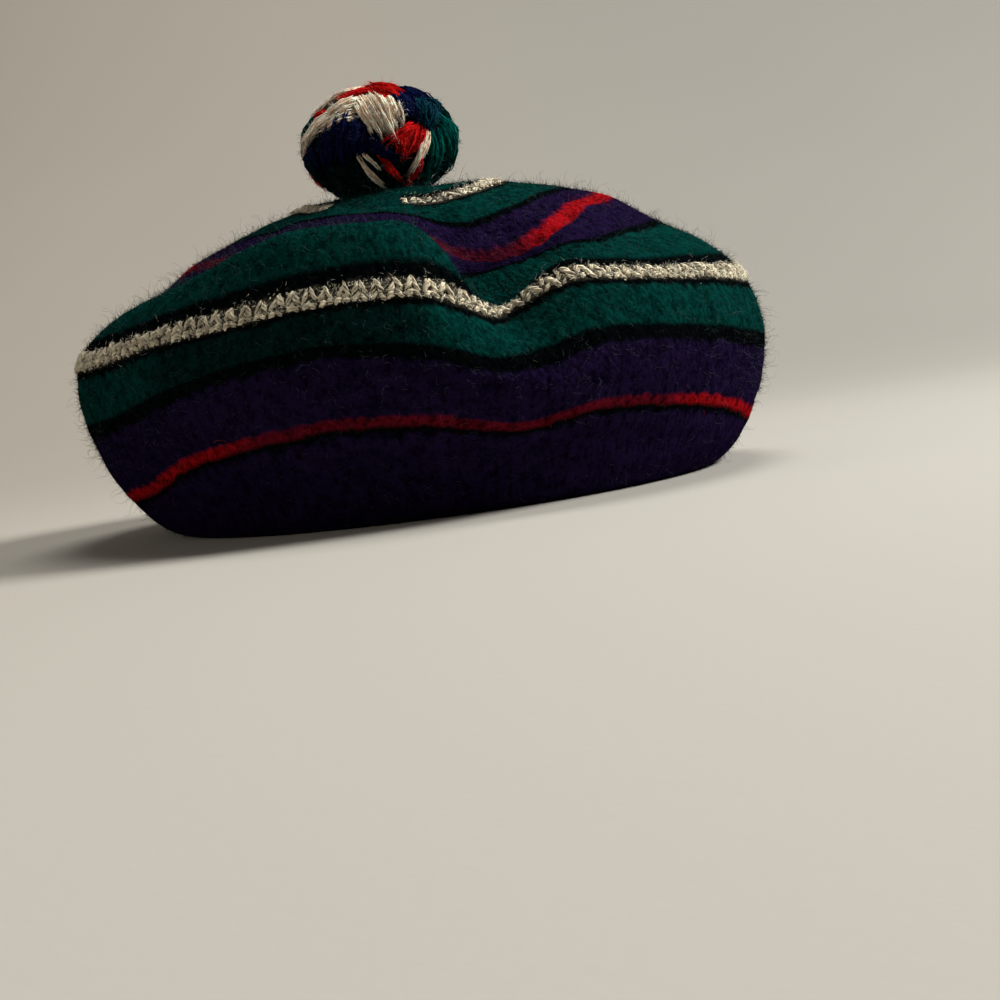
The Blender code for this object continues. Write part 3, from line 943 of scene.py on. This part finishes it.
def hairPaths(base, out, lengths, bends, curl, rises):
    # Hairs leave along a leaning direction and coil a little on the way, all points kept above
    # the floor
    count = len(base)
    lean = unit(np.cross(out, rng.normal(0, 1, (count, 3))))
    side = unit(np.cross(out, lean))
    rise = rng.uniform(*rises, count)[:, None]
    t = np.linspace(0, 1, bends + 1)[None, :, None]
    ahead = unit(out * rise + lean * np.sqrt(1 - rise**2))[:, None]
    angle = tau * rng.uniform(0.3, 0.9, count)[:, None, None] * t
    hook = np.sin(angle) * side[:, None] + (1 - np.cos(angle)) * (0.6 * ahead - 0.9 * lean[:, None])
    straight = ahead * t * (1 - 0.35 * curl * t)
    paths = base[:, None] + lengths[:, None, None] * (straight + 0.32 * curl * hook * t)
    paths[..., 2] = np.maximum(paths[..., 2], 0.0002)
    return paths


def makeFuzz(kind):
    # Hairs of one kind all over the crown, each in the colour of the stripe it grows from
    row = dict(zip(hairColumns, hairKinds[kind]))
    turn, reach = sampleSkin(row["hairs"])
    names = stripeNames(turn, knitReach(turn, reach) + rng.normal(0, fuzz["stray"], len(turn)))
    cream = names == "cream"
    base = readGrid(skin, turn, reach)
    out = unit(readGrid(skinNormals, turn, reach))
    base = base + out * np.where(cream, fuzz["creamRoot"], -fuzz["rootDepth"])[:, None]
    lengths = rng.uniform(*row["length"], len(turn)) * np.where(cream, fuzz["creamLength"], 1.0)
    paths = hairPaths(base, out, lengths, row["bends"], row["curl"], row["rise"])
    taper = np.linspace(1.0, 0.3, row["bends"] + 1)
    stoutness = rng.uniform(*fuzz["stoutness"], len(turn)) * np.where(cream, fuzz["creamThickness"], 1.0)
    radii = row["thickness"] * taper[None] * stoutness[:, None]
    for name in sorted(set(names)):
        chosen = names == name
        material = (paleWool if row["pale"] else woolMaterials)[name]
        addTubes(kind + "_" + name, paths[chosen], radii[chosen], material)


creamFuzz = {
    "hairs": 7000,
    "topShare": 0.16,  # of the hairs, on the top round
    "middles": (0.0340, 0.1270),  # of the top and the edge round in the knitting
    "width": 0.0066,
    "lift": 0.0007,
    "hidden": 0.0040,  # how deep the hairs lie where the top round is covered
    "length": (0.0010, 0.0028),
    "thickness": 0.000075,
}


def makeCreamFuzz():
    # Short curly hairs over the cream rounds, which blur their stitches
    count = creamFuzz["hairs"]
    top = rng.random(count) < creamFuzz["topShare"]
    across = rng.uniform(-0.5, 0.5, count)
    turn = rng.random(count)
    middle = np.where(top, *creamFuzz["middles"])
    reach = skinReach(turn, middle + across * creamFuzz["width"])
    base = readGrid(skin, turn, reach)
    out = unit(readGrid(skinNormals, turn, reach))
    azimuth, spread, depth = stitches["sunk"]["top"]
    turned = (turn * 360.0 - azimuth) % 360.0 - 180.0
    lift = creamFuzz["lift"] - np.where(top, depth, 0.0) * np.exp(-0.5 * (turned / spread) ** 2)
    first, last = ((azimuth + 180.0) / 360.0 for azimuth in stitches["covered"]["top"])
    lift = lift - np.where(top & (turn > first) & (turn < last), creamFuzz["hidden"], 0.0)
    lengths = rng.uniform(*creamFuzz["length"], count)
    paths = hairPaths(base + out * lift[:, None], out, lengths, 2, 1.3, (0.0, 0.5))
    radii = creamFuzz["thickness"] * np.array([1.2, 1.0, 0.3])[None] * rng.uniform(0.6, 1.2, (count, 1))
    addTubes("cream_fuzz", paths, radii, woolMaterials["cream"])


for kind in hairKinds:
    makeFuzz(kind)
makeCreamFuzz()
print("fuzz made")


# Pompom

pompom = {
    "width": 0.0570,
    "height": 0.0440,
    "sink": 0.0035,
    "core": 0.88,  # of the full size, under the strands
    "strandThickness": 0.00031,
    "strandsPerArea": 640,  # strands of a lock for its length times its half width
    "clumpWidth": 0.036,
    "furtherLocks": 44,
    "furtherSize": (0.95, 0.17),
    "furtherClear": 17.0,  # degrees from the middles of the locks in the table
    "lowest": 0.885,  # of the full size, where a lock's lowest strands lie
    "layers": 0.060,  # from its lowest to its highest strands
    "swell": (0.045, 0.040),  # how far its middle swells, and how much more for each 1 of height
    "clumpBend": 0.05,
    "clumpStand": 0.025,
    "tipStand": 0.11,
    "strandRoughness": 0.00022,
    "fuzzPerStrand": 1.1,
    "fuzzLength": (0.0012, 0.0042),
    "fuzzThickness": 0.00005,
    # the way the camera sees the ball: how far it looks up, and its roll, in degrees
    "lookUp": 6.7,
    "roll": 7.8,
}
pompomHalf = np.array([pompom["width"], pompom["width"], pompom["height"]]) / 2
pompomRise = crown["crest"][1] * crown["height"] - pompom["sink"] + pompom["height"] / 2
pompomMiddle = eyeletPlace + np.array([0, 0, pompomRise])

# Locks on the side towards the camera: where each starts and ends, right and up from the ball's
# middle in the picture as shares of its half width and half height, then its half width, how high
# it lies from 0 to 1, and its colour
locks = (
    (-0.70, -0.60, -0.12, -0.86, 0.20, 0.0, "pine"),
    (-0.45, -0.42, 0.08, -0.74, 0.17, 0.0, "pine"),
    (0.10, -0.55, 0.30, -0.93, 0.17, 0.0, "pine"),
    (0.60, -0.66, 0.22, -0.94, 0.20, 0.0, "pine"),
    (-0.92, -0.30, -0.55, -0.78, 0.16, 0.1, "pine"),
    (-0.22, -0.30, 0.20, -0.62, 0.16, 0.1, "pine"),
    (-0.98, -0.10, -0.75, -0.55, 0.12, 0.3, "navy"),
    (-0.27, 0.80, 0.09, 0.00, 0.15, 0.5, "white"),
    (-0.10, 0.82, 0.20, 0.06, 0.14, 0.6, "white"),
    (0.10, 0.78, 0.27, 0.22, 0.12, 0.7, "white"),
    (-0.28, 0.76, -0.74, 0.38, 0.16, 0.5, "white"),
    (-0.34, 0.50, -0.78, 0.22, 0.12, 0.4, "white"),
    (-0.62, 0.50, -0.95, 0.04, 0.12, 0.5, "white"),
    (-0.88, 0.22, -0.98, -0.22, 0.09, 0.4, "white"),
    (-0.70, 0.56, -0.86, 0.42, 0.035, 0.6, "scarlet"),
    (0.26, 0.80, -0.22, 0.95, 0.13, 0.9, "scarlet"),
    (-0.08, 0.92, -0.56, 0.72, 0.10, 0.9, "scarlet"),
    (0.22, 0.72, -0.10, 0.84, 0.09, 0.9, "scarlet"),
    (-0.50, -0.34, -0.44, 0.52, 0.13, 0.7, "navy"),
    (-0.66, -0.36, -0.68, 0.27, 0.13, 0.7, "navy"),
    (-0.82, -0.40, -0.87, 0.03, 0.12, 0.6, "navy"),
    (-0.30, -0.22, -0.22, 0.38, 0.12, 0.8, "navy"),
    (-0.42, -0.10, -0.30, 0.34, 0.12, 0.9, "navy"),
    (-0.14, 0.18, 0.02, -0.12, 0.09, 0.7, "navy"),
    (0.10, 0.84, 0.38, 0.34, 0.11, 0.6, "navy"),
    (0.30, 0.82, 0.44, 0.28, 0.11, 0.6, "navy"),
    (0.28, 0.90, 0.60, 0.66, 0.12, 0.6, "navy"),
    (0.62, 0.72, 0.80, 0.46, 0.10, 1.6, "teal"),
    (0.90, 0.36, 0.98, -0.05, 0.12, 1.4, "emerald"),
    (0.50, 0.72, 0.60, 0.20, 0.13, 1.9, "teal"),
    (0.62, 0.66, 0.68, 0.20, 0.11, 2.1, "teal"),
    (0.80, 0.40, 0.84, -0.55, 0.15, 1.4, "emerald"),
    (0.93, 0.28, 0.92, -0.40, 0.12, 0.6, "emerald"),
    (0.76, 0.14, 0.66, -0.64, 0.13, 0.4, "emerald"),
    (0.70, -0.42, 0.46, -0.86, 0.13, 0.2, "emerald"),
    (0.52, 0.27, 0.12, -0.06, 0.12, 0.8, "scarlet"),
    (0.48, 0.26, 0.36, -0.28, 0.12, 0.9, "scarlet"),
    (0.58, 0.22, 0.45, -0.15, 0.06, 0.9, "scarlet"),
    (0.30, 0.16, 0.30, -0.30, 0.10, 0.7, "scarlet"),
    (-0.20, 0.06, 0.34, -0.36, 0.08, 1.0, "navy"),
    (0.04, -0.22, 0.34, -0.72, 0.045, 0.9, "scarlet"),
    (0.56, -0.28, 0.34, -0.73, 0.050, 0.9, "scarlet"),
    (0.64, 0.12, 0.36, -0.58, 0.085, 1.0, "white"),
    (-0.20, -0.16, 0.10, -0.46, 0.036, 1.0, "white"),
    (-0.24, -0.27, 0.20, -0.80, 0.026, 1.0, "white"),
)
furtherColours = ("emerald", "navy", "white", "pine", "scarlet", "teal", "navy", "emerald")


def direction(azimuth, elevation):
    # The unit vector at an azimuth and an elevation in degrees
    a, e = np.radians(azimuth), np.radians(elevation)
    return np.stack([np.sin(a) * np.cos(e), -np.cos(a) * np.cos(e), np.sin(e) + 0 * a], -1)


def seenDirection(right, up):
    # The direction on the unit ball of a place in the picture
    roll, lookUp = math.radians(pompom["roll"]), math.radians(pompom["lookUp"])
    near = np.array([0.0, -math.cos(lookUp), -math.sin(lookUp)])
    rightWay = np.array([math.cos(roll), 0.0, -math.sin(roll)])
    rightWay = unit(rightWay - near * (rightWay @ near))
    upWay = np.cross(near, rightWay)
    upWay = upWay * np.sign(upWay[2])
    toward = math.sqrt(max(1.0 - right**2 - up**2, 0.0))
    return unit(right * rightWay + up * upWay + toward * near)


def allLocks():
    # Each lock as its start and end on the unit ball, half width, height and colour: those of the
    # table, and further ones by the golden angle where none of the table's is near
    made = []
    for startRight, startUp, endRight, endUp, width, height, colour in locks:
        start, end = seenDirection(startRight, startUp), seenDirection(endRight, endUp)
        made.append((start, end, width, height, colour))
    middles = np.array([unit(start + end) for start, end, *_ in made])
    golden = 180.0 * (3.0 - math.sqrt(5.0))
    length, width = pompom["furtherSize"]
    for i in range(pompom["furtherLocks"]):
        height = 0.96 - 1.80 * (i + 0.5) / pompom["furtherLocks"]
        middle = direction(i * golden, math.degrees(math.asin(height)))
        if (middles @ middle).max() > math.cos(math.radians(pompom["furtherClear"])):
            continue
        down = unit(np.array([0.3 * math.sin(5.0 * i), 0.3 * math.cos(3.0 * i), -1.0]))
        way = unit(down - middle * (down @ middle)) * length / 2
        lies = 0.3 + 0.4 * math.sin(i) ** 2
        colour = furtherColours[i % len(furtherColours)]
        if middle[2] < -0.1 and middle[1] < 0.3:
            colour = "pine"
        made.append((unit(middle - way), unit(middle + way), width, lies, colour))
    return made


def crownTop(radius):
    # Height of the crown's skin near its centre by the distance from the eyelet
    rows = reachOfRow < 0.06
    profile = skin[rows].mean(axis=1)[:, 2]
    spread = np.linalg.norm((skin[rows] - eyeletPlace)[..., :2], axis=2).mean(axis=1)
    return np.interp(radius, spread, profile)


def keepAboveCrown(points, gap):
    # The same points, none nearer above the crown's skin than the gap
    spread = np.linalg.norm((points - eyeletPlace)[..., :2], axis=-1)
    floor = crownTop(spread) + gap
    return np.concatenate([points[..., :2], np.maximum(points[..., 2], floor)[..., None]], -1)


def makePompomCore():
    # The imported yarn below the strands: a squat ball with small lumps, flat on the crown
    rows, columns = 60, 120
    elevation = np.linspace(89.0, -89.0, rows)[:, None] + np.zeros(columns)
    azimuth = np.zeros((rows, 1)) + np.arange(columns) * 360.0 / columns
    d = direction(azimuth, elevation)
    half = pompomHalf * pompom["core"]
    lumps = 1 + 0.02 * np.sin(d[..., 0] * 19 + 2) * np.sin(d[..., 2] * 23) + 0.015 * np.sin(d[..., 1] * 31)
    points = keepAboveCrown(pompomMiddle + d * half * lumps[..., None], 0.0003)
    points = points.reshape(-1, 3)
    ends = np.array([points[:columns].mean(axis=0), points[-columns:].mean(axis=0)])
    quads = gridQuads(rows, columns, wrapColumns=True)[:, ::-1]
    i = np.arange(columns)
    j = (i + 1) % columns
    count = rows * columns
    last = count - columns
    fans = np.concatenate([
        np.stack([i, j, np.full(columns, count)], -1),
        np.stack([last + j, last + i, np.full(columns, count + 1)], -1),
    ])
    piece = makeMesh("pompom_core", np.concatenate([points, ends]), quads, fans)
    # dark pine wool, partly painted shade: the core stands for the shade deep between the strands
    piece.data.materials.append(woolMaterials["pine"])
    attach(piece, "root")
    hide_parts("pompom")


def lockPaths(lock):
    # Strands of one lock run over the ball from its start to its end, gathered in clumps side by
    # side. Each clump is round across, ends in a point of its own and bends a little.
    start, end, width, height, _ = lock
    angle = math.acos(float(np.clip(start @ end, -1, 1)))
    ahead = unit(end - start * (start @ end))
    across = np.cross(ahead, start)
    strands = max(int(pompom["strandsPerArea"] * (angle + 0.15) * width), 12)
    clumps = max(int(round(width / pompom["clumpWidth"])), 1)
    clump = rng.integers(0, clumps, strands)
    bend = rng.normal(0, pompom["clumpBend"], clumps)[clump][:, None]
    finish = rng.uniform(0.86, 1.14, clumps)[clump][:, None] * rng.uniform(0.80, 1.04, (strands, 1))
    begin = rng.uniform(-0.12, 0.30, (strands, 1))
    middle = ((clump + 0.5) / clumps * 2 - 1)[:, None]
    local = rng.uniform(-1, 1, (strands, 1))
    stand = rng.uniform(-pompom["clumpStand"], pompom["clumpStand"], clumps)[clump][:, None]
    k = 6
    share = begin + (finish - begin) * np.linspace(0, 1, k)[None]
    gather = 1.0 - 0.85 * smoothStep(0.35, 1.05, share)
    b = width * (middle * (1 - 0.30 * share**2) + 1.05 * local / clumps * gather) + bend * (share - 0.3) ** 2
    a = angle * share
    flat = start * np.cos(a)[..., None] + ahead * np.sin(a)[..., None]
    d = flat * np.cos(b)[..., None] + across * np.sin(b)[..., None]
    layer = rng.uniform(0, 1, (strands, 1))
    bulge = np.sqrt(1 - 0.95 * local**2) * layer
    swell = np.sin(math.pi * np.clip(0.12 + 0.80 * share, 0, 1)) * np.sqrt(1 - 0.7 * middle**2)
    least, more = pompom["swell"]
    lift = pompom["lowest"] + stand + pompom["layers"] * bulge + (least + more * height) * swell
    tip = smoothStep(0.60, 1.0, share) * rng.uniform(-0.5, 1.0, (strands, 1)) ** 3
    points = pompomMiddle + d * pompomHalf * (lift + pompom["tipStand"] * tip)[..., None]
    points = points + rng.normal(0, pompom["strandRoughness"], points.shape)
    return keepAboveCrown(points, 0.0008)


def makePompomStrands():
    # The strands of all locks, one piece for each colour, and their fine hairs
    made = {}
    for lock in allLocks():
        made.setdefault(lock[-1], []).append(lockPaths(lock))
    for name, groups in sorted(made.items()):
        paths = np.concatenate(groups)
        count, k = paths.shape[:2]
        taper = np.array([0.55, 1.0, 1.0, 0.95, 0.75, 0.2])[None]
        radii = pompom["strandThickness"] * taper * rng.uniform(0.7, 1.3, (count, 1))
        yarn = woolMaterial(name + "Strands", wool[name], bright=1.6, dark=0.80)
        addTubes("pompom_" + name, paths, radii, yarn, "pompom")
        # Fine hairs that stand off the strands
        many = int(count * pompom["fuzzPerStrand"])
        pick = rng.integers(0, count, many)
        at = rng.integers(2, k, many)
        base = paths[pick, at]
        out = unit(base - pompomMiddle)
        lengths = rng.uniform(*pompom["fuzzLength"], many)
        hairs = hairPaths(base, out, lengths, 2, 0.7, (0.2, 0.9))
        hairs = keepAboveCrown(hairs, 0.0002)
        hairRadii = pompom["fuzzThickness"] * np.array([1.3, 1.0, 0.3])[None] * np.ones((many, 1))
        addTubes("pompom_fuzz_" + name, hairs, hairRadii, paleWool[name])


makePompomCore()
makePompomStrands()
print("pompom made")


def dressTie():
    # The tie keeps its own solid, with a twisted yarn finish
    maker = Maker("tieYarn")
    x, y, z = maker.parts(maker.objectPlace())
    ply = ((x * 260.0 + z * 420.0 + y * 120.0).frac() - 0.5).size() * 2.0
    fleck = maker.noise(maker.objectPlace(), 700.0, 3.0)
    colour = maker.mix(ply.ramp(0.4, 1.0), wool["pine"], wool["green"])
    normal = maker.bump(ply + fleck * 0.4, 0.0006, 0.8)
    material = maker.finish(colour, 0.95, normal, Specular_IOR_Level=0.0)
    tie = bpy.data.objects["pompom_tie"]
    if not tie.material_slots:
        tie.data.materials.append(material)
    for slot in tie.material_slots:
        slot.material = material


dressTie()
print("tie dressed")

meshes = [piece.data for piece in bpy.data.objects if piece.type == "MESH"]
print("triangles in all:", sum(len(mesh.loops) - 2 * len(mesh.polygons) for mesh in meshes))
